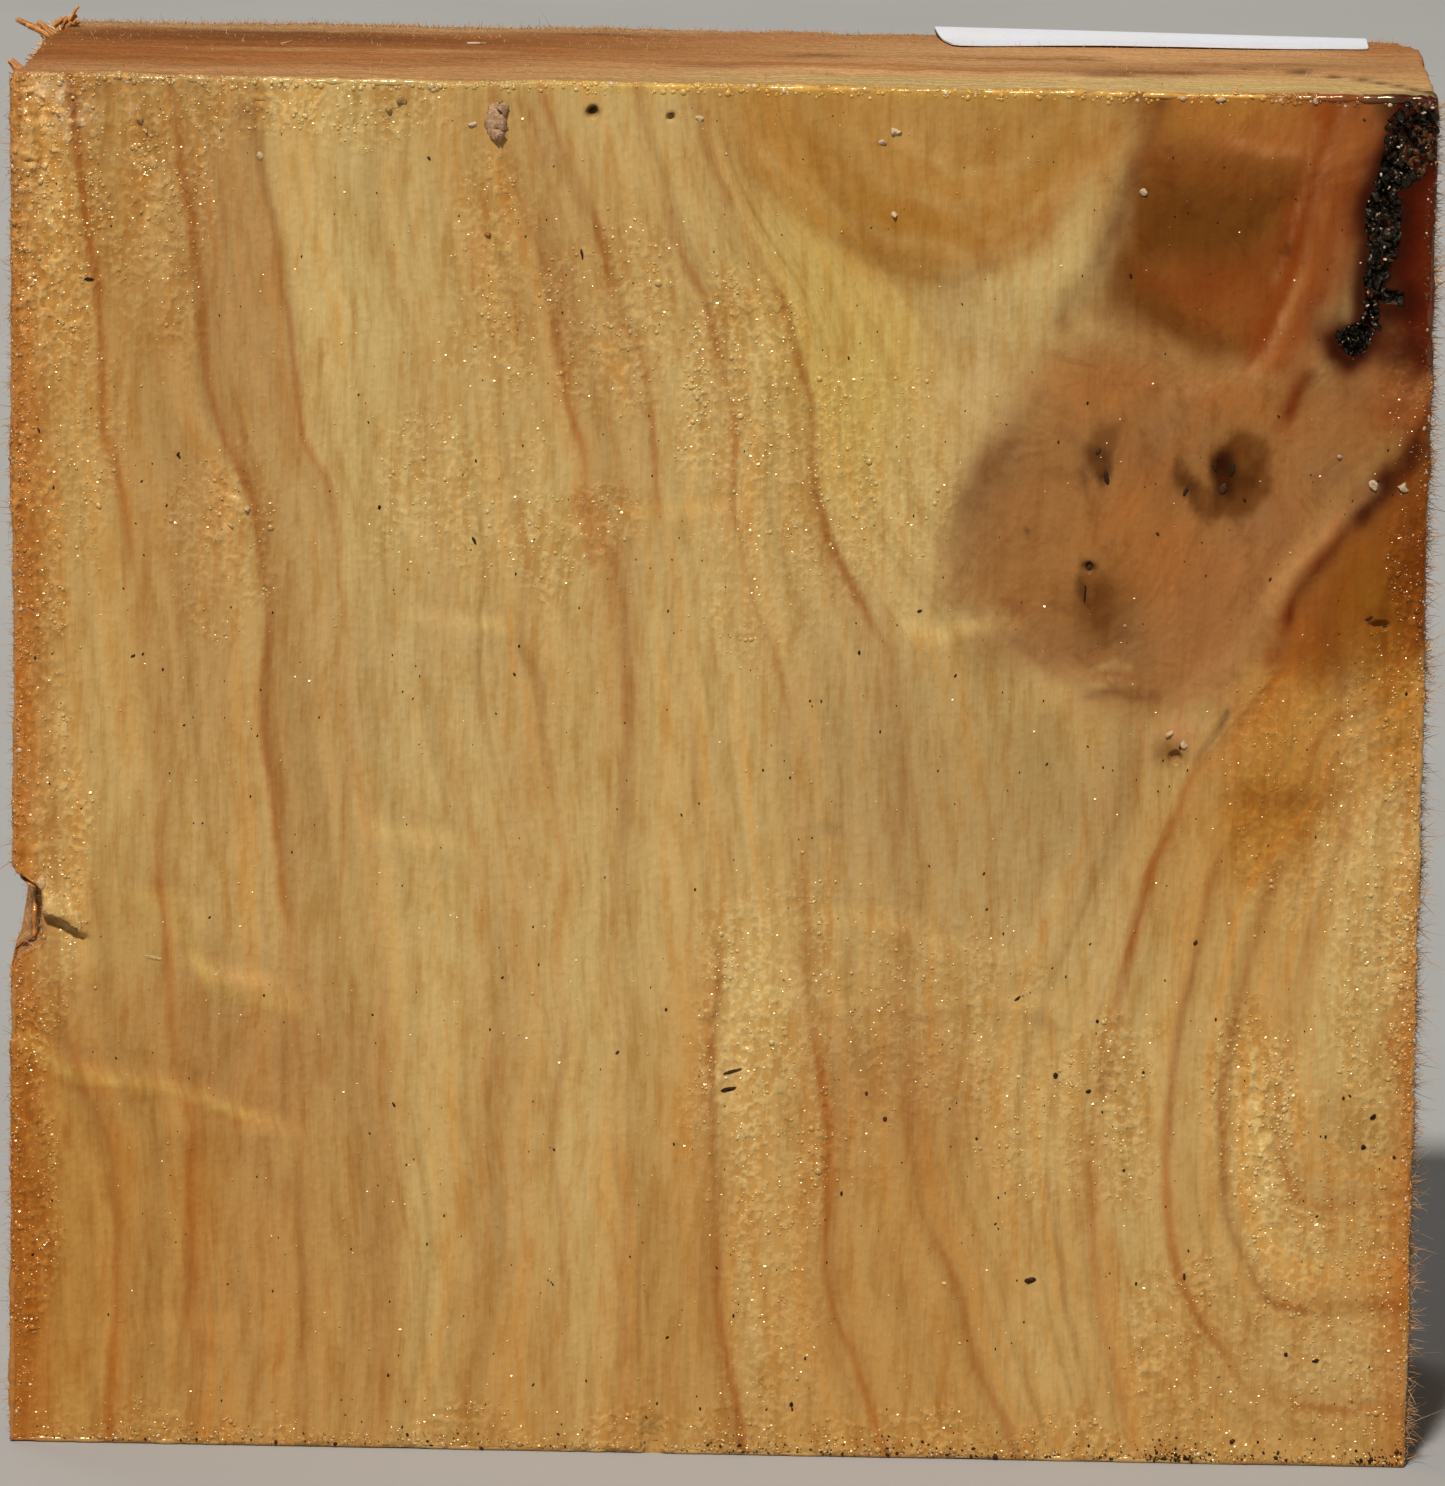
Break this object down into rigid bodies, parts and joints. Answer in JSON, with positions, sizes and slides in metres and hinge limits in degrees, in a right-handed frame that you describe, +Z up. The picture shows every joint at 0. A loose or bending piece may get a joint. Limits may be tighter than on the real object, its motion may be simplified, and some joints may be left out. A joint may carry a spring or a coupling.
{
  "type": "bowl blank",
  "caption": "Square sawn block of figured black cottonwood for turning a bowl, with a waxed face, a bark pocket by a corner and a bare paper label over the back edge.",
  "frame": {"origin": "on the base, under the middle of the block's overall box", "axes": "+X to the right along the large waxed face, -Y out of that face, +Z up as the block stands on its edge"},
  "size_m": [0.1951, 0.0779, 0.1903],
  "materials": {
    "waxed_wood": "honey-coloured wood under glossy, pebbly wax on the large face, rough sawn and bare on the edges",
    "label_paper": "matt white paper, no print"
  },
  "bodies": {
    "root": {"blank": "waxed_wood", "label": "label_paper"}
  },
  "joints": []
}
